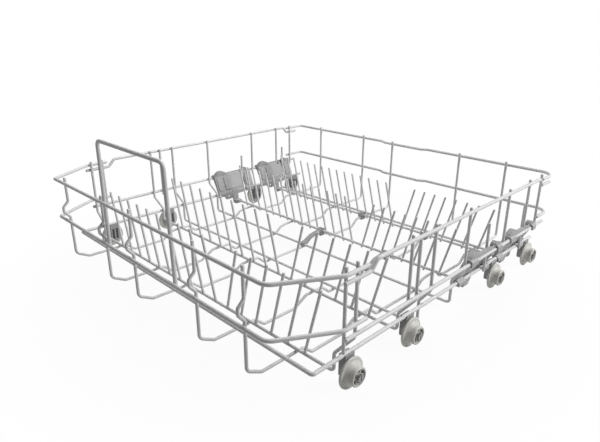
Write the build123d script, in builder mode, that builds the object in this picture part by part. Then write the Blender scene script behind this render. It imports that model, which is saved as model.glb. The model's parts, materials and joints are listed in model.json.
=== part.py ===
"""Lower basket of a dishwasher: coated wire basket on eight rollers, with two folding tine racks.

Millimetres. X runs right along the front wall, Y from front to back, Z up, and Z = 0 is the track
that the rollers stand on.
"""
import os
from math import floor

from build123d import *

os.makedirs("parts", exist_ok=True)

# Coated wire diameters
rail_d = 4.2
frame_d = 4.4
handle_d = 4.6
floor_d = 3.6
tine_d = 3.2
rack_tine_d = 3.0
rod_d = 3.6
weld_gap = 0.03
cut_over = 1.0

# Walls
rail_x = 250.0
wall_y = 252.1
post_top = 135.6
front_top_z = 130.4
front_lower_z = 76.7
back_top_z = 130.8
back_lower_z = 77.4
front_bend_x = 214.4
front_slant_y = -191.7
front_side_end_y = -161.3
front_bend_r = 12.0
front_left_r = 5.0
back_side_end_y = 212.0
back_left_r = 5.0
back_right_r = 20.0
recess_half = 36.0
recess_slope = 10.0
recess_depth = 6.0
recess_bend_r = 8.0

# Side rails
side_top_z = 133.0
side_step_z = 122.9
side_top_front_y = -193.0
side_step_front_y = -158.0
side_step_run = 9.5
side_rise_back_y = 203.0
side_top_back_y = 236.0
side_bend_r = 6.0
side_lower_z = 66.0
side_lower_front_y = -190.0
side_lower_back_y = 233.5

# Bottom frame
frame_x = 236.4
frame_z = 36.8
frame_front_y = -217.6
frame_back_y = 236.0
frame_bend_r = 2.8

# Pull handle
handle_mid_x = -4.8
handle_foot_half = 73.2
handle_top_half = 69.8
handle_foot_z = 71.4
handle_top_z = 203.9
handle_bend_r = 6.5
handle_post_gap = 2.4

# Floor wires, front to back
handle_post_x = handle_mid_x - handle_foot_half - handle_d / 2 - floor_d / 2 - handle_post_gap
floor_xs = [-189.5, handle_post_x, -17.0, 106.5, 181.8]
valley_z = 7.1
crest_z = 17.9
plateau_z = 18.2
bulge_depth = 7.3
bulge_zs = [103.4, 96.4, 89.9, 81.4]
bulge_r = 4.0
front_foot_z = 27.4
front_foot_run = 18.0
front_foot_r = 8.0
back_foot_r = 5.0
first_crest_end = 10.0
crest_fall = 13.0
crest_rise_start = -30.0
crest_rise_end = -10.0
second_crest_end = 18.0
ramp_start = -36.0
ramp_break = -24.0
ramp_break_drop = 2.0
ramp_end = -12.0
rod_crest_end = 9.0
rod_fall = 13.0
rod_rise_start = -27.0
rod_rise_end = -14.0
wave_r = 6.0

# Cross wires, left to right, with the place of the wall post at each end
cross_ys = [-184.3, -83.1, -44.0, 26.0, 181.0]
cross_left_post_ys = [-186.5, -89.3, -49.6, 20.4, 181.0]
cross_right_post_ys = [-172.0, -73.0, -45.0, 26.0, 181.0]
loop_r = 5.0
loop_top_z = 41.4
kink_z = 59.4
slant_r = 5.0

# Straight posts: place along each wall and height of the foot
left_post_feet = {-169.7: 60.4, -72.4: 60.4, 119.5: 60.4, 217.0: 60.4}
right_post_feet = {-187.5: 49.4, -87.6: 60.4, 123.0: 60.4, 218.0: 60.4}
holder_post_rise = 24.0
holder_post_foot_z = 34.0
holder_post_top_z = 97.9

# Fixed tines
tine_left_x = 46.6
tine_right_x = 69.8
tine_pitch = 24.9
tine_lean = 20.0
tine_top_z = 99.6
tine_end_gap = 12.0

# Folding racks
rod_ys = [66.0, 167.0]
rod_z = 22.6
rod_end_x = 229.0
rack_pitch = 17.6
rack_left_x = 42.8
rack_right_x = 63.0
rack_last_x = 191.3
rack_end_gap = 4.0
rack_lean = 17.0
rack_top_z = 87.4
rack_foot = 3.5
rod_clearance = 0.05

# Rack holders, measured along Y from the rod
holder_front = -36.0
holder_back = 44.0
holder_clips = [(-36.0, -21.0), (29.0, 39.0)]
holder_humps = [(-35.0, -9.0, 76.9), (26.5, 39.5, 74.4)]
holder_hood_z = 71.0
holder_hood_run = 5.1
holder_edge = 2.5
holder_outer_x = 253.6
holder_lip_z = 62.8
holder_lip_gap = 1.2
holder_foot_z = 32.9
holder_inner_x = 231.6
holder_foot_wall = 4.2
holder_shoulder = 1.5
holder_web_gap = 0.3
holder_clip_gap = 0.04
holder_mouth = 3.2
wire_slot = 14.0
wire_slot_width = 5.0
post_slot_width = 4.6
groove_wall = 1.4
wing_groove = (-20.0, 4.5, 39.4, 57.4)
rear_groove = (34.0, 4.5, 39.4, 55.4)
skirt_front = -25.0
skirt_slope = 5.0
skirt_low_z = 26.4
skirt_thick = 2.4
skirt_root = 1.0
eyelet_d = 4.2
eyelet_y = -14.0
eyelet_z = 31.4
tongue_half = 6.0
tongue_root = 3.0
tongue_root_z = 40.8
bearing_x = 222.0
bearing_end_x = 230.4
bearing_low_z = 17.8
bearing_lip = 1.0
rod_end_gap = 0.3

# Rod clips on the floor wires
clip_half = 3.5
clip_ring_r = 4.5
clip_block_half = 5.5
clip_block_drop = 3.1
clip_mouth = 3.0
arm_hook_r = 4.0
arm_hook_drop = 1.4
arm_thick = 2.3
arm_foot_run = 2.0
arm_bend_run = 16.0
arm_bow_run = 24.0
arm_hook_run = 7.0
arm_wire_gap = 0.5
arm_root_inset = 0.5
arm_bow_rise = 0.88
arm_crown_run = 5.0
arm_crown_rise = 5.0
arm_throat_run = 3.6
arm_throat_rise = 1.2
arm_neck_rise = 2.2
arm_belly_run = 23.5
arm_belly_drop = 1.4

# Rollers
roller_ys = [-170.0, -70.6, 119.8, 218.3]
roller_r = 17.1
flange_x = 240.3
flange_thick = 3.0
tread_r = 13.7
tread_sag = 0.7
waist_r = 10.0
waist_run = 8.2
waist_step = 0.8
hub_r = 10.5
hub_x = 252.4
hub_edge_r = 0.8
face_r = 8.4
face_depth = 1.2
boss_r = 4.4
spoke_thick = 1.8
pocket_depth = 3.2
axle_d = 6.0
axle_clearance = 0.05
axle_end_x = 254.5
axle_head_d = 7.8
axle_head_gap = 0.3
axle_slot = 1.2
axle_slot_depth = 6.0

# Axle brackets
bracket_half = 6.5
bracket_inner_x = 231.4
bracket_gap = 0.3
bracket_low_z = 10.2
cradle_r = 3.8
cradle_gap = 0.05
cradle_lip_rise = 0.7
bracket_groove = 3.0
bracket_groove_width = 3.4
bracket_groove_shift = 2.9
bracket_groove_zs = (14.0, 30.0)
bracket_corner_r = 4.0

# Positions that follow from the sizes above
front_y = -wall_y
front_in = front_y + rail_d / 2 + floor_d / 2 + weld_gap
back_in = wall_y - rail_d / 2 - floor_d / 2 - weld_gap
wall_x = rail_x - rail_d / 2 - floor_d / 2 - weld_gap
handle_y = front_y + rail_d / 2 + handle_d / 2 + weld_gap
loop_x = frame_x - frame_d / 2 - floor_d / 2 - weld_gap
floor_over = floor_d + weld_gap
cross_zs = [
    crest_z + floor_over,
    crest_z + floor_over,
    valley_z + floor_over,
    valley_z + floor_over,
    plateau_z + floor_over,
]
holder_post_x = frame_x + frame_d / 2 + floor_d / 2 + weld_gap
rack_tine_y = rod_d / 2 + rack_tine_d / 2 + weld_gap
tine_reach = loop_x - tine_lean - tine_end_gap
tine_left_count = floor((tine_reach + tine_left_x) / tine_pitch) + 1
tine_right_count = floor((tine_reach - tine_right_x) / tine_pitch) + 1
rack_reach = holder_inner_x - rack_lean - rack_tine_d / 2 - rack_end_gap
rack_left_count = floor((rack_reach + rack_left_x) / rack_pitch) + 1
rack_right_count = floor((rack_last_x - rack_pitch - rack_right_x) / rack_pitch) + 1
sides = {"left": -1, "right": 1}


def wire(plane, points, diameter, bends):
    """One round wire bent along points, which are in a plane or in space."""
    with BuildLine(plane) as path:
        FilletPolyline(*points, radius=bends)
    with BuildSketch(Plane(origin=path.line @ 0, z_dir=path.line % 0)) as section:
        Circle(diameter / 2)
    sweep(sections=section.sketch, path=path.line, transition=Transition.RIGHT)


def bar(start, end, diameter):
    """One straight round wire between two points."""
    run = Vector(*end) - Vector(*start)
    with BuildSketch(Plane(origin=start, z_dir=run)) as section:
        Circle(diameter / 2)
    extrude(section.sketch, amount=run.length)


def across(y):
    """Plane seen from the front, at a given Y."""
    return Plane(origin=(0, y, 0), x_dir=(1, 0, 0), z_dir=(0, -1, 0))


def along(x):
    """Plane seen from the right, at a given X."""
    return Plane(origin=(x, 0, 0), x_dir=(0, 1, 0), z_dir=(1, 0, 0))


def finish(builder, name):
    """Names a sub-part and writes its file."""
    builder.part.label = name
    export_step(builder.part, "parts/" + name + ".step")


def leaning_tine(x, y, foot_z, top_z, lean, diameter):
    """One tine with level ends, leaning sideways along X."""
    with BuildSketch(Plane(origin=(x, y, foot_z))) as section:
        Circle(diameter / 2)
    rise = Vector(lean, 0, top_z - foot_z)
    extrude(section.sketch, amount=rise.length, dir=rise)


# Front rails: straight run, slanted corners and short side runs
front_plan = [
    (-rail_x, front_side_end_y),
    (-rail_x, front_slant_y),
    (-front_bend_x, front_y),
    (front_bend_x, front_y),
    (rail_x, front_slant_y),
    (rail_x, front_side_end_y),
]
front_bends = [front_bend_r, front_left_r, front_bend_r, front_bend_r]
with BuildPart() as front_top_rail:
    wire(Plane.XY.offset(front_top_z), front_plan, rail_d, front_bends)
finish(front_top_rail, "front_top_rail")

with BuildPart() as front_lower_rail:
    wire(Plane.XY.offset(front_lower_z), front_plan, rail_d, front_bends)
finish(front_lower_rail, "front_lower_rail")

# Back rails: one tight and one wide corner, and a shallow recess in the middle
back_plan = [
    (-rail_x, back_side_end_y),
    (-rail_x, wall_y),
    (-recess_half - recess_slope, wall_y),
    (-recess_half, wall_y - recess_depth),
    (recess_half, wall_y - recess_depth),
    (recess_half + recess_slope, wall_y),
    (rail_x, wall_y),
    (rail_x, back_side_end_y),
]
back_bends = [back_left_r] + [recess_bend_r] * 4 + [back_right_r]
with BuildPart() as back_top_rail:
    wire(Plane.XY.offset(back_top_z), back_plan, rail_d, back_bends)
finish(back_top_rail, "back_top_rail")

with BuildPart() as back_lower_rail:
    wire(Plane.XY.offset(back_lower_z), back_plan, rail_d, back_bends)
finish(back_lower_rail, "back_lower_rail")

# Side rails: the top one steps down at both ends to pass under the end rails
side_profile = [
    (side_top_front_y, side_step_z),
    (side_step_front_y, side_step_z),
    (side_step_front_y + side_step_run, side_top_z),
    (side_rise_back_y, side_top_z),
    (side_rise_back_y + side_step_run, side_step_z),
    (side_top_back_y, side_step_z),
]
for side, sign in sides.items():
    with BuildPart() as side_top_rail:
        wire(along(sign * rail_x), side_profile, rail_d, side_bend_r)
    finish(side_top_rail, side + "_top_rail")

    with BuildPart() as side_lower_rail:
        x = sign * rail_x
        bar((x, side_lower_front_y, side_lower_z), (x, side_lower_back_y, side_lower_z), rail_d)
    finish(side_lower_rail, side + "_lower_rail")

# Bottom frame: one U that stays open at the back
frame_plan = [
    (-frame_x, frame_back_y),
    (-frame_x, frame_front_y),
    (frame_x, frame_front_y),
    (frame_x, frame_back_y),
]
with BuildPart() as bottom_frame:
    wire(Plane.XY.offset(frame_z), frame_plan, frame_d, frame_bend_r)
finish(bottom_frame, "bottom_frame")

# Pull handle: one loop inside the front rails
handle_profile = [
    (handle_mid_x - handle_foot_half, handle_foot_z),
    (handle_mid_x - handle_top_half, handle_top_z),
    (handle_mid_x + handle_top_half, handle_top_z),
    (handle_mid_x + handle_foot_half, handle_foot_z),
]
with BuildPart() as pull_handle:
    wire(across(handle_y), handle_profile, handle_d, handle_bend_r)
finish(pull_handle, "pull_handle")

# Floor wires: front post with a bulge, a floor run that waves under every cross wire and rod, back post
front_corners = [
    (front_in, post_top),
    (front_in, bulge_zs[0]),
    (front_in - bulge_depth, bulge_zs[1]),
    (front_in - bulge_depth, bulge_zs[2]),
    (front_in, bulge_zs[3]),
    (front_in, front_foot_z),
    (front_in + front_foot_run, crest_z),
]
first_fall = cross_ys[0] + first_crest_end
second_fall = cross_ys[1] + second_crest_end
rod_fall_y = rod_ys[0] + rod_crest_end
floor_waves = [
    (first_fall, crest_z),
    (first_fall + crest_fall, valley_z),
    (cross_ys[1] + crest_rise_start, valley_z),
    (cross_ys[1] + crest_rise_end, crest_z),
    (second_fall, crest_z),
    (second_fall + crest_fall, valley_z),
    (rod_ys[0] + ramp_start, valley_z),
    (rod_ys[0] + ramp_break, plateau_z - ramp_break_drop),
    (rod_ys[0] + ramp_end, plateau_z),
    (rod_fall_y, plateau_z),
    (rod_fall_y + rod_fall, valley_z),
    (rod_ys[1] + rod_rise_start, valley_z),
    (rod_ys[1] + rod_rise_end, plateau_z),
]
floor_bends = [bulge_r] * 4 + [front_foot_r] * 2 + [wave_r] * len(floor_waves) + [back_foot_r]
for number, x in enumerate(floor_xs):
    end_y = back_in - recess_depth if abs(x) < recess_half else back_in
    back_corners = [(end_y, plateau_z), (end_y, post_top)]
    with BuildPart() as floor_wire:
        wire(along(x), front_corners + floor_waves + back_corners, floor_d, floor_bends)
    finish(floor_wire, "floor_wire_" + str(number + 1))

# Cross wires: floor run, ends that rise inside the bottom frame, slant out and stand as wall posts
cross_bends = [slant_r, slant_r, loop_r, loop_r, slant_r, slant_r]
for number, y in enumerate(cross_ys):
    left_y = cross_left_post_ys[number]
    right_y = cross_right_post_ys[number]
    z = cross_zs[number]
    with BuildPart() as cross_wire:
        path_points = [
            (-wall_x, left_y, post_top),
            (-wall_x, left_y, kink_z),
            (-loop_x, y, loop_top_z),
            (-loop_x, y, z),
            (loop_x, y, z),
            (loop_x, y, loop_top_z),
            (wall_x, right_y, kink_z),
            (wall_x, right_y, post_top),
        ]
        wire(Plane.XY, path_points, floor_d, cross_bends)
    finish(cross_wire, "cross_wire_" + str(number + 1))

# Straight posts inside the side rails
post_feet = {"left": left_post_feet, "right": right_post_feet}
for side, sign in sides.items():
    with BuildPart() as wall_posts:
        for y, foot_z in post_feet[side].items():
            bar((sign * wall_x, y, foot_z), (sign * wall_x, y, post_top), floor_d)
    finish(wall_posts, side + "_wall_posts")

# Short posts outside the bottom frame that pin the rack holders
with BuildPart() as holder_posts:
    for sign in sides.values():
        for rod_y in rod_ys:
            x = sign * holder_post_x
            y = rod_y + holder_post_rise
            bar((x, y, holder_post_foot_z), (x, y, holder_post_top_z), floor_d)
finish(holder_posts, "holder_posts")

# Fixed tines stand on the first two cross wires
for row in range(2):
    foot_z = cross_zs[row] + floor_d / 2 + weld_gap
    y = cross_ys[row]
    with BuildPart() as tine_row:
        for i in range(tine_left_count):
            leaning_tine(tine_left_x - i * tine_pitch, y, foot_z, tine_top_z, -tine_lean, tine_d)
        for i in range(tine_right_count):
            leaning_tine(tine_right_x + i * tine_pitch, y, foot_z, tine_top_z, tine_lean, tine_d)
    finish(tine_row, "tine_row_" + str(row + 1))

# Folding racks: a straight rod with tines welded behind it
racks = {"front": rod_ys[0], "rear": rod_ys[1]}
rack_foot_z = rod_z - rod_d / 2 - rack_foot
foot_share = (rod_z - rack_foot_z) / (rack_top_z - rod_z)
for rack, rod_y in racks.items():
    with BuildPart() as fold_rod:
        bar((-rod_end_x, rod_y, rod_z), (rod_end_x, rod_y, rod_z), rod_d)
    finish(fold_rod, "fold_rod_" + rack)

    lean = rack_lean * (1 + foot_share)
    back = rack_lean * foot_share
    with BuildPart() as fold_tines:
        for i in range(rack_left_count):
            x = rack_left_x - i * rack_pitch
            leaning_tine(x + back, rod_y + rack_tine_y, rack_foot_z, rack_top_z, -lean, rack_tine_d)
        right_xs = [rack_right_x + i * rack_pitch for i in range(rack_right_count)]
        for x in right_xs + [rack_last_x]:
            leaning_tine(x - back, rod_y + rack_tine_y, rack_foot_z, rack_top_z, lean, rack_tine_d)
    finish(fold_tines, "fold_tines_" + rack)

# Rack holders: a slanted web from the side lower rail to the bottom frame, wrapped round both at two clips
hood_inner_x = rail_x - rail_d / 2 - holder_hood_run
rail_inner_x = rail_x - rail_d / 2
frame_inner_x = frame_x - frame_d / 2
web_inner = [
    (hood_inner_x + holder_edge, holder_hood_z),
    (hood_inner_x, holder_hood_z - holder_edge),
    (holder_inner_x, frame_z + holder_shoulder),
    (holder_inner_x, holder_foot_z),
]
web_profile = web_inner + [
    (frame_inner_x - holder_web_gap, holder_foot_z),
    (frame_inner_x - holder_web_gap, frame_z + frame_d / 2),
    (rail_inner_x - holder_web_gap, holder_lip_z),
    (rail_inner_x - holder_web_gap, side_lower_z),
    (rail_x - holder_web_gap, side_lower_z),
    (rail_x - holder_web_gap, holder_hood_z),
]
clip_profile = web_inner + [
    (frame_x + holder_foot_wall, holder_foot_z),
    (frame_x + holder_foot_wall, frame_z),
    (frame_x, frame_z + holder_foot_wall),
    (rail_inner_x - holder_lip_gap, holder_lip_z),
    (holder_outer_x, holder_lip_z),
    (holder_outer_x, holder_hood_z - holder_edge),
    (holder_outer_x - holder_edge, holder_hood_z),
]
bearing_high_z = rod_z + bearing_lip
tongue_profile = [
    (bearing_x, bearing_low_z),
    (bearing_end_x, bearing_low_z),
    (holder_inner_x + tongue_root, holder_foot_z),
    (holder_inner_x + tongue_root, tongue_root_z),
    (holder_inner_x, tongue_root_z),
    (bearing_end_x, bearing_high_z),
    (bearing_x, bearing_high_z),
]
web_rise = holder_hood_z - holder_edge - frame_z - holder_shoulder
web_slope = (hood_inner_x - holder_inner_x) / web_rise
wire_groove = (wire_slot, wire_slot_width, wing_groove[2], wing_groove[3])
holder_run = holder_back - holder_front


def groove_face(z):
    """X of a groove's floor, a wall thickness outside the web's inner face."""
    return holder_inner_x + groove_wall + (z - frame_z - holder_shoulder) * web_slope


for rack, rod_y in racks.items():
    for side, sign in sides.items():
        with BuildPart() as holder:
            with BuildSketch(across(rod_y + holder_back)):
                Polygon(*[(sign * x, z) for x, z in web_profile], align=None)
            extrude(amount=holder_run)
            for clip_start, clip_end in holder_clips:
                with BuildSketch(across(rod_y + clip_end)):
                    Polygon(*[(sign * x, z) for x, z in clip_profile], align=None)
                extrude(amount=clip_end - clip_start)
            for hump_start, hump_end, hump_z in holder_humps:
                with BuildSketch(along(sign * hood_inner_x)):
                    with BuildLine():
                        start = (rod_y + hump_start, holder_hood_z - holder_edge)
                        crown = (rod_y + (hump_start + hump_end) / 2, hump_z)
                        end = (rod_y + hump_end, holder_hood_z - holder_edge)
                        ThreePointArc(start, crown, end)
                        Line(end, start)
                    make_face()
                extrude(amount=sign * (rail_x - hood_inner_x))
            with BuildSketch(along(sign * holder_inner_x)):
                Polygon(
                    (rod_y + skirt_front, holder_foot_z + skirt_root),
                    (rod_y + skirt_front + skirt_slope, skirt_low_z),
                    (rod_y - tongue_half, skirt_low_z),
                    (rod_y, holder_foot_z + skirt_root),
                    align=None,
                )
            extrude(amount=sign * skirt_thick)
            with BuildSketch(across(rod_y + tongue_half)):
                Polygon(*[(sign * x, z) for x, z in tongue_profile], align=None)
            extrude(amount=2 * tongue_half)
            with BuildSketch(across(rod_y + holder_back + cut_over)):
                with Locations((sign * rail_x, side_lower_z)):
                    Circle(rail_d / 2 + holder_clip_gap)
                with Locations((sign * frame_x, frame_z)):
                    Circle(frame_d / 2 + holder_clip_gap)
                with Locations((sign * rail_x, side_lower_z - rail_d)):
                    Rectangle(holder_mouth, 2 * rail_d)
            extrude(amount=holder_run + 2 * cut_over, mode=Mode.SUBTRACT)
            slot_run = rail_inner_x - bearing_x
            slots = [(holder_post_rise, post_slot_width)]
            grooves = [wing_groove, rear_groove]
            if rod_y + wire_slot in cross_ys:
                slots.append((wire_slot, wire_slot_width))
            else:
                grooves.append(wire_groove)
            with BuildSketch(Plane.XY.offset(holder_foot_z - cut_over)):
                for slot_y, width in slots:
                    with Locations((sign * (bearing_x + slot_run / 2), rod_y + slot_y)):
                        Rectangle(slot_run, width)
            extrude(amount=holder_hood_z, mode=Mode.SUBTRACT)
            for groove_y, width, low_z, high_z in grooves:
                with BuildSketch(across(rod_y + groove_y + width / 2)):
                    Polygon(
                        (sign * groove_face(low_z), low_z),
                        (sign * groove_face(high_z), high_z),
                        (sign * rail_inner_x, high_z),
                        (sign * rail_inner_x, low_z),
                        align=None,
                    )
                extrude(amount=width, mode=Mode.SUBTRACT)
            with BuildSketch(along(sign * bearing_x)):
                with Locations((rod_y + eyelet_y, eyelet_z)):
                    Circle(eyelet_d / 2)
            extrude(amount=sign * slot_run, mode=Mode.SUBTRACT)
            with BuildSketch(along(sign * (bearing_x - cut_over))):
                with Locations((rod_y, rod_z)):
                    Circle(rod_d / 2 + rod_clearance)
            extrude(amount=sign * (rod_end_x + rod_end_gap - bearing_x + cut_over), mode=Mode.SUBTRACT)
        finish(holder, "rack_holder_" + rack + "_" + side)

# Rod clips: a ring for the rod on a block snapped over the floor wire; the front ones hook a cross wire
arm_y = max(y for y in cross_ys if y < rod_ys[0])
arm_z = cross_zs[cross_ys.index(arm_y)]
arm_low_z = plateau_z + floor_d / 2 + arm_wire_gap
arm_profile = [
    (rod_ys[0] - arm_foot_run, rod_z + clip_ring_r - arm_root_inset),
    (rod_ys[0] - clip_ring_r - arm_root_inset, rod_z + rod_d / 2),
    (rod_ys[0] - arm_bend_run, arm_low_z + arm_thick),
    (rod_ys[0] - arm_bow_run, arm_low_z + arm_bow_rise),
    (arm_y + arm_crown_run, arm_z + arm_crown_rise),
    (arm_y, arm_z + arm_hook_r),
    (arm_y, arm_z + floor_d / 2 + rod_clearance),
    (arm_y + arm_throat_run, arm_z + arm_throat_rise),
    (arm_y + arm_hook_run, arm_z + arm_neck_rise),
    (rod_ys[0] - arm_belly_run, arm_low_z - arm_belly_drop),
    (rod_ys[0] - arm_bend_run, arm_low_z),
    (rod_ys[0] - arm_foot_run, arm_low_z),
]
clip_xs = floor_xs[2:4]
clip_low_z = plateau_z - clip_block_drop
for rack, rod_y in racks.items():
    for side, x in zip(sides, clip_xs):
        with BuildPart() as rod_clip:
            with BuildSketch(along(x - clip_half)):
                with Locations((rod_y, rod_z)):
                    Circle(clip_ring_r)
                with Locations((rod_y, (clip_low_z + rod_z) / 2)):
                    Rectangle(2 * clip_block_half, rod_z - clip_low_z)
                if rack == "front":
                    Polygon(*arm_profile, align=None)
                    with BuildSketch(mode=Mode.PRIVATE) as hook:
                        with Locations((arm_y, arm_z)):
                            Circle(arm_hook_r)
                        with Locations((arm_y, arm_z - arm_hook_drop - arm_hook_r)):
                            Rectangle(4 * arm_hook_r, 2 * arm_hook_r, mode=Mode.SUBTRACT)
                    add(hook.sketch)
                    with Locations((arm_y, arm_z)):
                        Circle(floor_d / 2 + rod_clearance, mode=Mode.SUBTRACT)
                with Locations((rod_y, rod_z)):
                    Circle(rod_d / 2 + rod_clearance, mode=Mode.SUBTRACT)
            extrude(amount=2 * clip_half)
            with BuildSketch(across(rod_y + 2 * clip_block_half)):
                with Locations((x, plateau_z)):
                    Circle(floor_d / 2 + rod_clearance)
                with Locations((x, plateau_z - clip_ring_r)):
                    Rectangle(clip_mouth, 2 * clip_ring_r)
            extrude(amount=4 * clip_block_half, mode=Mode.SUBTRACT)
        finish(rod_clip, "rod_clip_" + rack + "_" + side)

# Rollers: flange, tapered tread and a hub ring with six pockets in its face
bore_r = axle_d / 2 + axle_clearance
flange_end = flange_x + flange_thick
rim = flange_thick / 2
waist_x = flange_x + waist_run
face_x = hub_x - face_depth
boss_x = hub_x - hub_edge_r
for side, sign in sides.items():
    for number, y in enumerate(roller_ys):
        axle = Axis((0, y, roller_r), (1, 0, 0))
        with BuildPart() as roller:
            with BuildSketch(Plane(origin=(0, y, roller_r), x_dir=(1, 0, 0), z_dir=(0, -1, 0))):
                with BuildLine():
                    Polyline(
                        (sign * hub_x, hub_r - hub_edge_r),
                        (sign * hub_x, face_r),
                        (sign * face_x, face_r),
                        (sign * face_x, boss_r),
                        (sign * boss_x, boss_r),
                        (sign * boss_x, bore_r),
                        (sign * flange_x, bore_r),
                        (sign * flange_x, roller_r - rim),
                    )
                    ThreePointArc(
                        (sign * flange_x, roller_r - rim),
                        (sign * (flange_x + rim), roller_r),
                        (sign * flange_end, roller_r - rim),
                    )
                    Line((sign * flange_end, roller_r - rim), (sign * flange_end, tread_r))
                    ThreePointArc(
                        (sign * flange_end, tread_r),
                        (sign * (flange_end + waist_x) / 2, (tread_r + waist_r) / 2 - tread_sag),
                        (sign * waist_x, waist_r),
                    )
                    Polyline(
                        (sign * waist_x, waist_r),
                        (sign * (waist_x + waist_step), hub_r),
                        (sign * (hub_x - hub_edge_r), hub_r),
                        (sign * hub_x, hub_r - hub_edge_r),
                    )
                make_face()
            revolve(axis=axle)
            with BuildSketch(along(sign * (face_x - pocket_depth))):
                with Locations((y, roller_r)):
                    Circle(face_r)
                    Circle(boss_r, mode=Mode.SUBTRACT)
                    for turn in (0, 60, 120):
                        Rectangle(3 * face_r, spoke_thick, rotation=turn, mode=Mode.SUBTRACT)
            extrude(amount=sign * (pocket_depth + face_depth), mode=Mode.SUBTRACT)
        finish(roller, "roller_" + side + "_" + str(number + 1))

# Axle brackets: a ribbed leg under a cradle that the bottom frame snaps into, with the axle and its slotted head
leg_x = flange_x - bracket_gap
lip_z = frame_z + cradle_lip_rise
head_x = boss_x + axle_head_gap
for side, sign in sides.items():
    for number, y in enumerate(roller_ys):
        with BuildPart() as bracket:
            with BuildSketch(along(sign * bracket_inner_x)):
                with BuildLine():
                    FilletPolyline(
                        (y - bracket_half, frame_z),
                        (y - bracket_half, bracket_low_z),
                        (y + bracket_half, bracket_low_z),
                        (y + bracket_half, frame_z),
                        radius=bracket_corner_r,
                    )
                    Line((y + bracket_half, frame_z), (y - bracket_half, frame_z))
                make_face()
            extrude(amount=sign * (leg_x - bracket_inner_x))
            with BuildSketch(across(y + bracket_half)):
                with Locations((sign * frame_x, frame_z)):
                    Circle(cradle_r)
            extrude(amount=2 * bracket_half)
            with BuildSketch(across(y + bracket_half + cut_over)):
                with Locations((sign * frame_x, frame_z)):
                    Circle(frame_d / 2 + cradle_gap)
                with Locations((sign * frame_x, lip_z + cradle_r)):
                    Rectangle(2 * cradle_r, 2 * cradle_r)
            extrude(amount=2 * (bracket_half + cut_over), mode=Mode.SUBTRACT)
            with BuildSketch(along(sign * bracket_inner_x)):
                low_z, high_z = bracket_groove_zs
                for shift in (-bracket_groove_shift, bracket_groove_shift):
                    with Locations((y + shift, (low_z + high_z) / 2)):
                        Rectangle(bracket_groove_width, high_z - low_z)
            extrude(amount=sign * bracket_groove, mode=Mode.SUBTRACT)
            with BuildSketch(along(sign * leg_x)):
                with Locations((y, roller_r)):
                    Circle(axle_d / 2)
            extrude(amount=sign * (axle_end_x - leg_x))
            with BuildSketch(along(sign * head_x)):
                with Locations((y, roller_r)):
                    Circle(axle_head_d / 2)
            extrude(amount=sign * (axle_end_x - head_x))
            with BuildSketch(along(sign * (axle_end_x - axle_slot_depth))):
                with Locations((y, roller_r)):
                    Rectangle(axle_slot, 2 * axle_head_d)
            extrude(amount=sign * axle_slot_depth, mode=Mode.SUBTRACT)
        finish(bracket, "axle_bracket_" + side + "_" + str(number + 1))
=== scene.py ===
# %% [markdown]
# # Dressing a dishwasher basket
# The basket arrives as exact solids: bent wires, moulded holders, clips, brackets and rollers. They stay
# where they are. This lesson gives them what a drawing lacks: the rounded tips of the coated wires, the
# coat that runs into every weld, raised panels on the rack holders and a finish for each plastic. Then
# come a camera, a pale floor and soft light.

# %% Load the basket as a fixed frame
import json
import math

import bmesh
import bpy
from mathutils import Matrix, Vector
from mathutils.bvhtree import BVHTree

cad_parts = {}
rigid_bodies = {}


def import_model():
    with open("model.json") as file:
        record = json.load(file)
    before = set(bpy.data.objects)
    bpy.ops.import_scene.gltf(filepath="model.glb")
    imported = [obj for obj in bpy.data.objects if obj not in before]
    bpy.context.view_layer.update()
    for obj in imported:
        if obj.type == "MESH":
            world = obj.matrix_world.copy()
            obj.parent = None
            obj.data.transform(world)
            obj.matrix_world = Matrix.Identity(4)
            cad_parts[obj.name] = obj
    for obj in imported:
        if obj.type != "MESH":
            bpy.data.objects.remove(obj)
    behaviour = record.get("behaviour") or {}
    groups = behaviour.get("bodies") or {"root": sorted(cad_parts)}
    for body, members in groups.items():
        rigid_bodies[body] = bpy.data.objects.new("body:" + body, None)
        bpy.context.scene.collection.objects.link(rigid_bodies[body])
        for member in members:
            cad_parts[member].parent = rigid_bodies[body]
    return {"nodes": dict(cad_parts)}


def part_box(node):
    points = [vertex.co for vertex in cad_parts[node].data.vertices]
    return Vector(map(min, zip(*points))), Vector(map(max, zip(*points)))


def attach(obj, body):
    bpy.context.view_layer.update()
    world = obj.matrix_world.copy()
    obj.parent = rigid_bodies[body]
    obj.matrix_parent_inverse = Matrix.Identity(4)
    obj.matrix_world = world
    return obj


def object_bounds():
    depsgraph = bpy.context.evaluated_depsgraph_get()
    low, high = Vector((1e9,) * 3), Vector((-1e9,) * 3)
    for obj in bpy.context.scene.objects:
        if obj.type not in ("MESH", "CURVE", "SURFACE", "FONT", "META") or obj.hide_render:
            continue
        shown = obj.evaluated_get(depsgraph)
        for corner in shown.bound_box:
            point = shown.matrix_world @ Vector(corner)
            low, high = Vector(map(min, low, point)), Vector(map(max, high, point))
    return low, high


for leftover in list(bpy.data.objects):
    bpy.data.objects.remove(leftover)
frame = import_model()
cad_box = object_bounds()
nodes = frame["nodes"]
print("nodes:", len(nodes), "box in metres:", [tuple(round(x, 4) for x in corner) for corner in cad_box])

# %% [markdown]
# ## Where each finish goes
# A basket like this has four plastics: the coat on the steel wire, the grey of the rack holders and rod
# clips, the darker grey of the axle brackets, and the warmer grey of the rollers. Every solid already
# carries the name of its slot, so the sorting is read from the frame instead of being typed again.

# %% Sort the nodes by their slot
slot_nodes = {}
for name in sorted(nodes):
    slot_nodes.setdefault(nodes[name].material_slots[0].material.name, []).append(name)
for slot, names in slot_nodes.items():
    print(slot, len(names))

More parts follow.
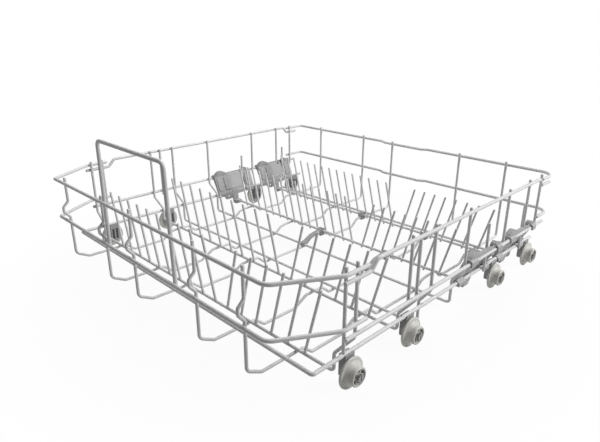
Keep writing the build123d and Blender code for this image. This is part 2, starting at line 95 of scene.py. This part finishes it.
# %% [markdown]
# ## Effects that several finishes share
# All four plastics show a slow change of tone, a fine skin and a thin pale film on the faces that point up,
# which is partly a water film and partly painted light from above.
# So each of these is a shader node group: built once, then placed in every material with its own values.
# Textures read Object coordinates. The solids keep their place in their vertices, so those coordinates are
# real metres, and a grain of 1 mm is 1 mm on every piece.

# %% Helpers for node groups
MM = 0.001


def new_group(name, inputs, outputs):
    """An empty shader node group with named number sockets."""
    group = bpy.data.node_groups.new(name, "ShaderNodeTree")
    for socket, value in inputs.items():
        made = group.interface.new_socket(socket, in_out="INPUT", socket_type="NodeSocketFloat")
        made.default_value = value
    for socket in outputs:
        group.interface.new_socket(socket, in_out="OUTPUT", socket_type="NodeSocketFloat")
    return group, group.nodes.new("NodeGroupInput"), group.nodes.new("NodeGroupOutput")


def arithmetic(tree, operation, first, second=0.0):
    """A Math node; either side may be a number or another node's output."""
    node = tree.nodes.new("ShaderNodeMath")
    node.operation = operation
    for socket, value in zip(node.inputs, (first, second)):
        if isinstance(value, (int, float)):
            socket.default_value = value
        else:
            tree.links.new(value, socket)
    return node.outputs["Value"]


def sized_noise(tree, size_mm, detail):
    """Noise whose spots are about size_mm wide, on Object coordinates."""
    place = tree.nodes.new("ShaderNodeTexCoord")
    noise = tree.nodes.new("ShaderNodeTexNoise")
    noise.inputs["Detail"].default_value = detail
    tree.links.new(place.outputs["Object"], noise.inputs["Vector"])
    tree.links.new(arithmetic(tree, "DIVIDE", 1 / MM, size_mm), noise.inputs["Scale"])
    return noise.outputs["Fac"]


# %% Cloudy tone: the slow change of shade in a dipped or moulded plastic
middle_tone = 0.5
cloud_group, start, end = new_group("cloudy tone", {"Patch mm": 30.0, "Contrast": 0.5}, ["Tone"])
slow = sized_noise(cloud_group, start.outputs["Patch mm"], detail=3.0)
swing = arithmetic(cloud_group, "SUBTRACT", slow, middle_tone)
swing = arithmetic(cloud_group, "MULTIPLY", swing, start.outputs["Contrast"])
tone = arithmetic(cloud_group, "ADD", swing, middle_tone)
cloud_group.links.new(tone, end.inputs["Tone"])
print("group:", cloud_group.name)

# %% Fine skin: orange peel on a coat, spark grain on a moulding
skin_group, start, end = new_group("fine skin", {"Grain mm": 1.0, "Flow mm": 6.0}, ["Height"])
grain = sized_noise(skin_group, start.outputs["Grain mm"], detail=1.0)
flow = sized_noise(skin_group, start.outputs["Flow mm"], detail=1.0)
skin_group.links.new(arithmetic(skin_group, "ADD", grain, flow), end.inputs["Height"])
print("group:", skin_group.name)

# %% Top film: a thin pale deposit on the faces that point up, partly a water film and partly painted light from above
film_and_top_light_group, start, end = new_group("pale deposit and painted top light", {"Spot mm": 4.0, "Amount": 0.5}, ["Mask"])
facing = film_and_top_light_group.nodes.new("ShaderNodeTexCoord")
split = film_and_top_light_group.nodes.new("ShaderNodeSeparateXYZ")
film_and_top_light_group.links.new(facing.outputs["Normal"], split.inputs["Vector"])
# painted top light: a face is paler the more it points up, as if lit from above, together with a real water
# film
upward = arithmetic(film_and_top_light_group, "MAXIMUM", split.outputs["Z"], 0.0)
spots = sized_noise(film_and_top_light_group, start.outputs["Spot mm"], detail=4.0)
film_and_top_light = arithmetic(film_and_top_light_group, "MULTIPLY", upward, spots)
film_and_top_light = arithmetic(film_and_top_light_group, "MULTIPLY", film_and_top_light, start.outputs["Amount"])
film_and_top_light_group.links.new(film_and_top_light, end.inputs["Mask"])
print("group:", film_and_top_light_group.name)

# %% [markdown]
# ## The four plastics
# A material here is a Principled shader with a few varied inputs: the tone moves the base colour between a
# darker and a lighter grey, the film lifts it a little on top, partly as a water film and partly as painted
# top light, and the skin feeds a Bump node. What is the same all over, such as the refractive index, is set
# on the shader's own socket.

# %% Helpers for colours and nodes in a material


def linear(screen):
    """A screen value from 0 to 255 as the linear value that a shader takes, by the usual sRGB curve."""
    share = screen / 255
    return share / 12.92 if share <= 0.04045 else ((share + 0.055) / 1.055) ** 2.4


def grey(red, green=None, blue=None):
    """A colour picked as screen values; one value alone is a neutral grey."""
    screen = [red, red if green is None else green, red if blue is None else blue]
    return (*[linear(value) for value in screen], 1.0)


def new_material(name):
    """A material with its node tree and its Principled shader."""
    material = bpy.data.materials.new(name)
    material.use_nodes = True
    return material, material.node_tree, material.node_tree.nodes["Principled BSDF"]


def place_group(tree, group, values):
    """One use of a shared effect, with its own values; gives the group's only output."""
    node = tree.nodes.new("ShaderNodeGroup")
    node.node_tree = group
    for socket, value in values.items():
        node.inputs[socket].default_value = value
    return node.outputs[0]


def mix_colours(tree, mask, first, second):
    """Goes from first to second where the mask goes from 0 to 1; first may be a node's output."""
    mix = tree.nodes.new("ShaderNodeMix")
    mix.data_type = "RGBA"
    tree.links.new(mask, mix.inputs[0])
    sockets = [s for s in mix.inputs if s.type == "RGBA"]
    for socket, value in zip(sockets, (first, second)):
        if isinstance(value, tuple):
            socket.default_value = value
        else:
            tree.links.new(value, socket)
    return [s for s in mix.outputs if s.type == "RGBA"][0]


def spread(tree, value, low, high):
    """Maps a 0 to 1 value onto low to high."""
    node = tree.nodes.new("ShaderNodeMapRange")
    node.inputs["To Min"].default_value = low
    node.inputs["To Max"].default_value = high
    tree.links.new(value, node.inputs["Value"])
    return node.outputs["Result"]


def relief(tree, height, depth_mm, rounded_mm):
    """A Bump node; rounded_mm above 0 also softens the look of sharp moulded edges."""
    bump = tree.nodes.new("ShaderNodeBump")
    bump.inputs["Distance"].default_value = depth_mm * MM
    tree.links.new(height, bump.inputs["Height"])
    if rounded_mm:
        bevel = tree.nodes.new("ShaderNodeBevel")
        bevel.inputs["Radius"].default_value = rounded_mm * MM
        tree.links.new(bevel.outputs["Normal"], bump.inputs["Normal"])
    return bump.outputs["Normal"]


# %% Helper: a plastic made from the three shared effects


def plastic(name, tones, film_and_top_light, skin, greys, roughness, depth_mm, rounded_mm, index, pattern=None):
    """A plastic's material; greys are dark, light and film (partly a water film, partly painted top light),
    and pattern adds its own height to the skin.
    """
    material, tree, shader = new_material(name)
    tone = place_group(tree, cloud_group, tones)
    film_and_top_light_mask = place_group(tree, film_and_top_light_group, film_and_top_light)
    height = place_group(tree, skin_group, skin)
    if pattern:
        height = arithmetic(tree, "ADD", height, pattern(tree))
    dark, light, film_and_top_light_grey = greys
    base = mix_colours(tree, tone, dark, light)
    # painted top light: upward faces are mixed towards the paler film grey, which also stands for a water
    # film
    tree.links.new(mix_colours(tree, film_and_top_light_mask, base, film_and_top_light_grey), shader.inputs["Base Color"])
    tree.links.new(spread(tree, tone, *roughness), shader.inputs["Roughness"])
    tree.links.new(relief(tree, height, depth_mm, rounded_mm), shader.inputs["Normal"])
    shader.inputs["IOR"].default_value = index
    print("material:", name)
    return material


# %% Coated wire: satin grey nylon over steel
coated_wire = plastic(
    "coated_wire_finish",
    tones={"Patch mm": 45.0, "Contrast": 1.4},
    film_and_top_light={"Spot mm": 9.0, "Amount": 0.7},
    skin={"Grain mm": 0.9, "Flow mm": 5.0},
    greys=(grey(188, 188, 189), grey(208), grey(220)),
    roughness=(0.40, 0.56),
    depth_mm=0.05,
    rounded_mm=0.0,
    index=1.53,
)

# %% Holder plastic: the moulded grey of the rack holders and rod clips
moulded_index = 1.49
holder_plastic = plastic(
    "holder_plastic_finish",
    tones={"Patch mm": 14.0, "Contrast": 1.2},
    film_and_top_light={"Spot mm": 5.0, "Amount": 0.5},
    skin={"Grain mm": 0.35, "Flow mm": 2.0},
    greys=(grey(140, 140, 141), grey(164), grey(176)),
    roughness=(0.42, 0.58),
    depth_mm=0.04,
    rounded_mm=0.6,
    index=moulded_index,
)

# %% Bracket plastic: the darker grey of the axle brackets
bracket_plastic = plastic(
    "bracket_plastic_finish",
    tones={"Patch mm": 10.0, "Contrast": 1.2},
    film_and_top_light={"Spot mm": 4.0, "Amount": 0.4},
    skin={"Grain mm": 0.35, "Flow mm": 2.0},
    greys=(grey(130, 130, 131), grey(154), grey(160)),
    roughness=(0.40, 0.55),
    depth_mm=0.04,
    rounded_mm=0.5,
    index=moulded_index,
)

# %% [markdown]
# The rollers come smooth from the mould and are then scuffed by their track, so they get faint rings.
# Generated coordinates run from 0 to 1 over each roller's own box, so the distance from the middle of that
# box is the distance from the axle, and the same rings fit all eight rollers.

# %% Helper: faint rings round the axle of a roller
rings_per_radius = 26.0
ring_share = 0.6
box_middle = 0.5


def axle_rings(tree):
    """A wave of height that runs out from the axle."""
    place = tree.nodes.new("ShaderNodeTexCoord")
    split = tree.nodes.new("ShaderNodeSeparateXYZ")
    tree.links.new(place.outputs["Generated"], split.inputs["Vector"])
    side_way = arithmetic(tree, "SUBTRACT", split.outputs["Y"], box_middle)
    up_way = arithmetic(tree, "SUBTRACT", split.outputs["Z"], box_middle)
    side_square = arithmetic(tree, "MULTIPLY", side_way, side_way)
    up_square = arithmetic(tree, "MULTIPLY", up_way, up_way)
    radius = arithmetic(tree, "SQRT", arithmetic(tree, "ADD", side_square, up_square))
    turns = arithmetic(tree, "MULTIPLY", radius, rings_per_radius / box_middle * 2 * math.pi)
    return arithmetic(tree, "MULTIPLY", arithmetic(tree, "SINE", turns), ring_share)


roller_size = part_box("roller_left_1")[1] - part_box("roller_left_1")[0]
print("ring step mm:", round(roller_size.y / 2 / rings_per_radius / MM, 2))

# %% Roller plastic: warm grey with those rings
roller_plastic = plastic(
    "roller_plastic_finish",
    tones={"Patch mm": 9.0, "Contrast": 1.3},
    film_and_top_light={"Spot mm": 3.0, "Amount": 0.25},
    skin={"Grain mm": 0.4, "Flow mm": 3.0},
    greys=(grey(180, 179, 174), grey(204, 203, 198), grey(212, 210, 203)),
    roughness=(0.38, 0.55),
    depth_mm=0.03,
    rounded_mm=0.6,
    index=moulded_index,
    pattern=axle_rings,
)

# %% Put each finish on its nodes
finishes = {
    "coated_wire": coated_wire,
    "holder_plastic": holder_plastic,
    "bracket_plastic": bracket_plastic,
    "roller_plastic": roller_plastic,
}
for slot, names in slot_nodes.items():
    for name in names:
        nodes[name].material_slots[0].material = finishes[slot]
print("finished nodes:", sum(len(names) for names in slot_nodes.values()))

# %% [markdown]
# ## Coated tips
# The wires are cut, welded and then coated, so surface tension leaves a low dome on every cut end. Each end
# of a solid is a flat disc. The lesson finds those discs by looking for the points that reach furthest in a
# direction, and turns a small dome on each, as on a lathe.

# %% Helpers: nodes by name, the separate wires in a node, and their flat ends
same_point = 0.002 * MM
disc_depth = 0.02 * MM
one_end = 9.0 * MM


def named(*starts):
    """The nodes whose names start with one of these, in a fixed order."""
    return [name for name in sorted(nodes) if name.startswith(starts)]


def loose_wires(node):
    """The points of each separate wire in a node, in a fixed order."""
    mesh = bmesh.new()
    mesh.from_mesh(nodes[node].data)
    bmesh.ops.remove_doubles(mesh, verts=mesh.verts, dist=same_point)
    seen = set()
    wires = []
    for first in mesh.verts:
        if first in seen:
            continue
        seen.add(first)
        waiting = [first]
        places = []
        while waiting:
            vert = waiting.pop()
            places.append(vert.co.copy())
            for edge in vert.link_edges:
                other = edge.other_vert(vert)
                if other not in seen:
                    seen.add(other)
                    waiting.append(other)
        wires.append(places)
    mesh.free()
    return wires


def flat_ends(node, direction):
    """Centre and radius of each flat wire end that faces a direction."""
    ends = []
    for places in loose_wires(node):
        reach = max(place.dot(direction) for place in places)
        rim = [place for place in places if place.dot(direction) > reach - disc_depth]
        while rim:
            group = [place for place in rim if (place - rim[0]).length < one_end]
            rim = [place for place in rim if (place - rim[0]).length >= one_end]
            centre = sum(group, Vector()) / len(group)
            ends.append((centre, max((place - centre).length for place in group)))
    return ends


# %% Helper: turn a profile round an axis, like a lathe
around = 14


def turned(mesh, centre, axis, profile):
    """Adds a closed turned form; profile is (radius, height) steps that start and end on the axis."""
    axis = axis.normalized()
    side = axis.orthogonal().normalized()
    cross = axis.cross(side)
    turns = [2 * math.pi * i / around for i in range(around)]
    rings = []
    for radius, height in profile:
        middle = centre + axis * height
        if radius == 0:
            rings.append([mesh.verts.new(middle)])
            continue
        rim = [middle + radius * (math.cos(t) * side + math.sin(t) * cross) for t in turns]
        rings.append([mesh.verts.new(place) for place in rim])
    for low, high in zip(rings, rings[1:]):
        for i in range(around):
            corners = [
                low[i % len(low)],
                low[(i + 1) % len(low)],
                high[(i + 1) % len(high)],
                high[i % len(high)],
            ]
            face = mesh.faces.new(list(dict.fromkeys(corners)))
            face.smooth = True


# %% Helpers: an object from a mesh, and a piece that rides on a body


def add_object(name, data):
    """A new object, linked to the scene."""
    made = bpy.data.objects.new(name, data)
    bpy.context.scene.collection.objects.link(made)
    return made


def mesh_object(name, mesh):
    """An object from a mesh that was built in code."""
    data = bpy.data.meshes.new(name)
    mesh.normal_update()
    mesh.to_mesh(data)
    mesh.free()
    return add_object(name, data)


def riding_piece(name, mesh, body, slot):
    """Makes an object from a mesh, in the finish of a slot, riding on a body."""
    piece = mesh_object(name, mesh)
    piece.data.materials.append(finishes[slot])
    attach(piece, body)
    print(name, "faces:", len(piece.data.polygons), "body:", body)


# %% Domes on the wire ends; the rise and the sunk root are shares of the wire's radius
tip_rise = 0.5
tip_sink = 0.15
tip_steps = 5


def tip_profile(radius):
    """A low dome, sunk a little into the wire it stands on."""
    rise = tip_rise * radius
    root = -tip_sink * radius
    curve = [math.pi / 2 * k / tip_steps for k in range(tip_steps)]
    dome = [(radius * math.cos(t), rise * math.sin(t)) for t in curve]
    return [(0, root), (radius, root)] + dome + [(0, rise)]


up = Vector((0, 0, 1))
back = Vector((0, 1, 0))
side_rails = ["left_top_rail", "left_lower_rail", "right_top_rail", "right_lower_rail"]
side_posts = ["left_wall_posts", "right_wall_posts", "holder_posts"]
ends_facing = [
    (up, side_posts + ["cross_wire", "floor_wire", "tine_row", "fold_tines"]),
    (-up, side_posts + ["fold_tines", "pull_handle"]),
    (back, side_rails + ["front_top_rail", "front_lower_rail", "bottom_frame"]),
    (-back, side_rails + ["back_top_rail", "back_lower_rail"]),
]
rack_bodies = {"fold_tines_front": "front_rack", "fold_tines_rear": "rear_rack"}
tip_meshes = {body: bmesh.new() for body in ["basket", *rack_bodies.values()]}
tip_count = 0
for direction, starts in ends_facing:
    for name in named(*starts):
        body = rack_bodies.get(name, "basket")
        for centre, radius in flat_ends(name, direction):
            turned(tip_meshes[body], centre, direction, tip_profile(radius))
            tip_count += 1
print("coated tips:", tip_count)
for body, mesh in tip_meshes.items():
    riding_piece("coated_tips_" + body, mesh, body, "coated_wire")

# %% [markdown]
# ## Coat in the welds
# The wires are welded where they touch and then dipped, so the coat closes each joint with a small hollow
# neck. To find the joints, the lesson walks along the axis of a wire and asks a search tree for the nearest
# point of the wires it may touch. Where that distance dips to the wire's own radius, the two touch, and a
# neck is turned there.

# %% Helpers: a search tree over nodes, and the places where a wire touches it
walk_step = 0.3 * MM
touch_gap = 0.15 * MM


def search_tree(*starts):
    """One search tree over every node whose name starts with one of these."""
    points = []
    faces = []
    for name in named(*starts):
        data = nodes[name].data
        first = len(points)
        points.extend(vert.co.copy() for vert in data.vertices)
        faces.extend([first + i for i in face.vertices] for face in data.polygons)
    return BVHTree.FromPolygons(points, faces)


def touches(start, stop, radius, near):
    """Points on the skin of a search tree where a wire touches it, with the direction across the joint."""
    found = []
    run = stop - start
    steps = int(run.length / walk_step)
    last = None
    for i in range(steps + 1):
        place = start + run * (i / steps)
        spot, _, _, distance = near.find_nearest(place)
        if distance > radius + touch_gap:
            last = None
            continue
        if last is None:
            last = [distance, place, spot]
            found.append(last)
        elif distance < last[0]:
            last[:] = [distance, place, spot]
    return [(spot, (spot - place).normalized()) for _, place, spot in found]


# %% Helpers: a neck between two wires, and a collar round a tine's foot, in shares of the radius
neck_half = 0.42
neck_root = 0.86
neck_waist = 0.66
neck_shoulder = 1.06 * neck_waist
neck_shoulder_at = 0.4 * neck_half
collar_steps = [(1.22, -0.62), (1.2, -0.4), (1.09, 0.1), (1.03, 0.5), (1.0, 0.9)]


def closed_profile(steps, radius):
    """Steps at their real size, closed by a point on the axis at each end."""
    sized = [(wide * radius, height * radius) for wide, height in steps]
    return [(0, sized[0][1])] + sized + [(0, sized[-1][1])]


def neck_profile(radius):
    """A hollow neck whose two ends lie inside the wires it joins."""
    upper = [(neck_shoulder, neck_shoulder_at), (neck_root, neck_half)]
    lower = [(wide, -height) for wide, height in reversed(upper)]
    return closed_profile(lower + [(neck_waist, 0.0)] + upper, radius)


def collar_profile(radius):
    """A skirt of coat that runs from a tine down over the wire it stands on."""
    return closed_profile(collar_steps, radius)


# %% Coat where the posts meet the rails
rails = search_tree("front_", "back_", "left_top", "left_lower", "right_top", "right_lower", "bottom_frame")
weld_meshes = {body: bmesh.new() for body in tip_meshes}
weld_spots = []


def weld(body, joints, radius):
    """Turns one neck at each joint."""
    for spot, across in joints:
        turned(weld_meshes[body], spot, across, neck_profile(radius))
        weld_spots.append(spot)


# A walk runs down a post from its top, past the lower rails, and on a holder's post past the bottom frame.
wall_post_walk_end = 61 * MM
holder_post_walk_end = 35 * MM
for name in named("cross_wire", "floor_wire", *side_posts):
    walk_end = holder_post_walk_end if name == "holder_posts" else wall_post_walk_end
    for centre, radius in flat_ends(name, up):
        low = Vector((centre.x, centre.y, walk_end))
        weld("basket", touches(centre, low, radius, rails), radius)
print("joints of the posts:", len(weld_spots))

# %% Coat along the cross wires: on the floor wires, and inside the bottom frame
floor_wires = search_tree("floor_wire")
loop_run = 30 * MM
frame_low, frame_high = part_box("bottom_frame")
frame_r = (frame_high.z - frame_low.z) / 2
for name in named("cross_wire"):
    low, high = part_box(name)
    radius = flat_ends(name, up)[0][1]
    run_y = [v.co.y for v in nodes[name].data.vertices if v.co.z < low.z + 2 * radius]
    middle_y = (min(run_y) + max(run_y)) / 2
    reach = high.x - loop_run
    left = Vector((-reach, middle_y, low.z + radius))
    right = Vector((reach, middle_y, low.z + radius))
    weld("basket", touches(left, right, radius, floor_wires), radius)
    for sign in (-1, 1):
        spot = Vector((sign * (frame_high.x - 2 * frame_r), middle_y, frame_low.z + frame_r))
        weld("basket", [(spot, Vector((sign, 0, 0)))], radius)
print("joints so far:", len(weld_spots))

# %% Coat at the handle, at the fixed tines and on the folding racks
for centre, radius in flat_ends("pull_handle", -up):
    top = Vector((centre.x, centre.y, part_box("pull_handle")[1].z))
    weld("basket", touches(centre, top, radius, rails), radius)
for name in named("tine_row"):
    for centre, radius in flat_ends(name, -up):
        turned(weld_meshes["basket"], centre, up, collar_profile(radius))
        weld_spots.append(centre)
for name, body in rack_bodies.items():
    rod = search_tree(name.replace("tines", "rod"))
    feet = sorted(flat_ends(name, -up), key=lambda end: end[0].x)
    tops = sorted(flat_ends(name, up), key=lambda end: end[0].x)
    for (foot, radius), (top, _) in zip(feet, tops):
        weld(body, touches(foot, top, radius, rod), radius)
print("joints with coat:", len(weld_spots))
for body, mesh in weld_meshes.items():
    riding_piece("weld_coat_" + body, mesh, body, "coated_wire")

# %% [markdown]
# ## Raised panels on the rack holders
# The inner face of a holder is one flat slope in the solid. The moulded ones have raised panels there, which
# stiffen the thin wall, with grooves between them. A ray from the middle of the basket finds the slope, and
# each panel is a rounded plate on it with a softened rim. Its root lies inside the wall, so no slit of light
# shows behind it.

# %% Helper: a rounded plate on a sloping face
panel_rise = 1.3 * MM
panel_root = 0.4 * MM
panel_rim = 0.5 * MM
panel_corner = 2.0 * MM
corner_steps = 4


def rounded_plate(mesh, origin, along, upward, length, height):
    """A plate with rounded corners; origin is its low corner, along and upward are its sides' directions."""
    out = along.cross(upward).normalized()
    if out.x * origin.x > 0:
        out = -out
    rings = []
    for inset, rise in ((0.0, -panel_root), (0.0, panel_rise - panel_rim), (panel_rim, panel_rise)):
        ring = []
        radius = panel_corner - inset
        for turn, (far_end, top_side) in enumerate(((1, 1), (0, 1), (0, 0), (1, 0))):
            centre_u = length - panel_corner if far_end else panel_corner
            centre_v = height - panel_corner if top_side else panel_corner
            for k in range(corner_steps + 1):
                angle = math.pi / 2 * (turn + k / corner_steps)
                u = centre_u + radius * math.cos(angle)
                v = centre_v + radius * math.sin(angle)
                flat = along * u + upward * v
                ring.append(mesh.verts.new(origin + flat + out * rise))
        rings.append(ring)
    count = len(rings[0])
    for low, high in zip(rings, rings[1:]):
        for i in range(count):
            mesh.faces.new((low[i], low[(i + 1) % count], high[(i + 1) % count], high[i]))
    mesh.faces.new(rings[-1])
    mesh.faces.new(rings[0][::-1])


# %% Panels on the four holders, in shares of a holder's length and height
panel_runs = [(0.03, 0.17), (0.21, 0.70), (0.80, 0.96)]
panel_heights = (0.44, 0.82)
panel_mesh = bmesh.new()
for name in named("rack_holder"):
    low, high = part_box(name)
    way = Vector((math.copysign(1, low.x), 0, 0))
    wall = search_tree(name)
    tall = high.z - low.z
    for first, last in panel_runs:
        y = low.y + first * (high.y - low.y)
        foot, top = [wall.ray_cast(Vector((0, y, low.z + share * tall)), way)[0] for share in panel_heights]
        length = (last - first) * (high.y - low.y)
        rounded_plate(panel_mesh, foot, back, (top - foot).normalized(), length, (top - foot).length)
bmesh.ops.recalc_face_normals(panel_mesh, faces=panel_mesh.faces)
riding_piece("holder_panels", panel_mesh, "basket", "holder_plastic")

# %% [markdown]
# ## Camera
# The camera stands at the front right corner, a little above the basket, as in the picture. Its place comes
# from lining up the rails' straight runs. The small shift says that the picture was cropped a little off
# centre.

# %% Camera
camera_place = Vector((0.5039, -0.4999, 0.3315))
camera_turn = math.radians(45.43)
camera_dip = math.radians(20.79)
look = Vector((
    -math.sin(camera_turn) * math.cos(camera_dip),
    math.cos(camera_turn) * math.cos(camera_dip),
    -math.sin(camera_dip),
))
camera_data = bpy.data.cameras.new("camera")
camera_data.lens = 31.68
camera_data.sensor_width = 36.0
camera_data.shift_x = 0.0045
camera_data.shift_y = -0.002
camera_data.clip_start = 0.01
camera = add_object("camera", camera_data)
camera.location = camera_place
camera.rotation_euler = look.to_track_quat("-Z", "Y").to_euler()
bpy.context.scene.camera = camera
print("camera looks along", tuple(round(x, 3) for x in look))

# %% [markdown]
# ## Floor, world and lamps
# The picture has a plain white ground. The floor is a pale matt sheet; for the rays that the camera sends it
# is mostly white by itself, so the ground stays white without more light on the basket. Under the basket a
# small share of the lit sheet shows a faint shadow, and away from it that share fades out.

# %% Helpers: the rays that see the ground, and a blend of two shaders
pure_white = (1, 1, 1, 1)


def seeing_rays(tree, kinds):
    """A mask that is 1 for rays of these kinds and 0 for the rest."""
    rays = tree.nodes.new("ShaderNodeLightPath")
    mask = rays.outputs[kinds[0]]
    for kind in kinds[1:]:
        mask = arithmetic(tree, "MAXIMUM", mask, rays.outputs[kind])
    return mask


def show_blend(tree, output, mask, first, second):
    """Gives an output node the first shader where the mask is 0 and the second where it is 1."""
    blend = tree.nodes.new("ShaderNodeMixShader")
    tree.links.new(mask, blend.inputs["Fac"])
    tree.links.new(first, blend.inputs[1])
    tree.links.new(second, blend.inputs[2])
    tree.links.new(blend.outputs["Shader"], tree.nodes[output].inputs["Surface"])


# %% Floor
floor_half = 4.0
floor_mesh = bmesh.new()
corner_signs = [(-1, -1), (1, -1), (1, 1), (-1, 1)]
floor_mesh.faces.new([floor_mesh.verts.new((floor_half * x, floor_half * y, 0.0)) for x, y in corner_signs])
floor = mesh_object("floor", floor_mesh)
print("floor side m:", 2 * floor_half)

# %% Pale floor: white to the camera, with a faint shadow near the middle
white_under = 0.93
fade_from = 0.2
fade_to = 0.46
pale_floor, tree, shader = new_material("pale_floor")
shader.inputs["Base Color"].default_value = grey(208)
shader.inputs["Roughness"].default_value = 0.9
shader.inputs["Specular IOR Level"].default_value = 0.0
white = tree.nodes.new("ShaderNodeEmission")
white.inputs["Color"].default_value = pure_white
white.inputs["Strength"].default_value = 1.0
place = tree.nodes.new("ShaderNodeTexCoord")
from_middle = tree.nodes.new("ShaderNodeVectorMath")
from_middle.operation = "LENGTH"
tree.links.new(place.outputs["Object"], from_middle.inputs[0])
own_white = tree.nodes.new("ShaderNodeMapRange")
own_white.inputs["From Min"].default_value = fade_from
own_white.inputs["From Max"].default_value = fade_to
own_white.inputs["To Min"].default_value = white_under
tree.links.new(from_middle.outputs["Value"], own_white.inputs["Value"])
seen = seeing_rays(tree, ["Is Camera Ray", "Is Glossy Ray", "Is Transmission Ray"])
share = arithmetic(tree, "MULTIPLY", seen, own_white.outputs["Result"])
show_blend(tree, "Material Output", share, shader.outputs["BSDF"], white.outputs["Emission"])
floor.data.materials.append(pale_floor)
print("floor white under the basket:", white_under)

# %% World: white to the camera, a soft grey light to the basket
world_light = 0.15
world = bpy.data.worlds.new("studio")
bpy.context.scene.world = world
world.use_nodes = True
tree = world.node_tree
fill_sky = tree.nodes["Background"]
fill_sky.inputs["Color"].default_value = pure_white
fill_sky.inputs["Strength"].default_value = world_light
white_sky = tree.nodes.new("ShaderNodeBackground")
white_sky.inputs["Color"].default_value = pure_white
white_sky.inputs["Strength"].default_value = 1.0
seen = seeing_rays(tree, ["Is Camera Ray", "Is Transmission Ray"])
show_blend(tree, "World Output", seen, fill_sky.outputs["Background"], white_sky.outputs["Background"])
print("world light:", world_light)

# %% Lamps: a broad key behind the right side and a weak one above the middle
basket_middle = (cad_box[0] + cad_box[1]) / 2


def soft_lamp(name, place, watts, side_m):
    """A square area lamp that points at the middle of the basket."""
    data = bpy.data.lights.new(name, "AREA")
    data.energy = watts
    data.size = side_m
    lamp = add_object(name, data)
    lamp.location = place
    lamp.rotation_euler = (basket_middle - Vector(place)).to_track_quat("-Z", "Y").to_euler()
    print(name, "watts:", watts)


soft_lamp("key_lamp", (1.25, 1.0, 0.95), watts=30.0, side_m=1.0)
soft_lamp("top_lamp", (-0.15, 0.0, 0.75), watts=4.0, side_m=0.6)
bpy.context.scene.view_settings.view_transform = "Standard"
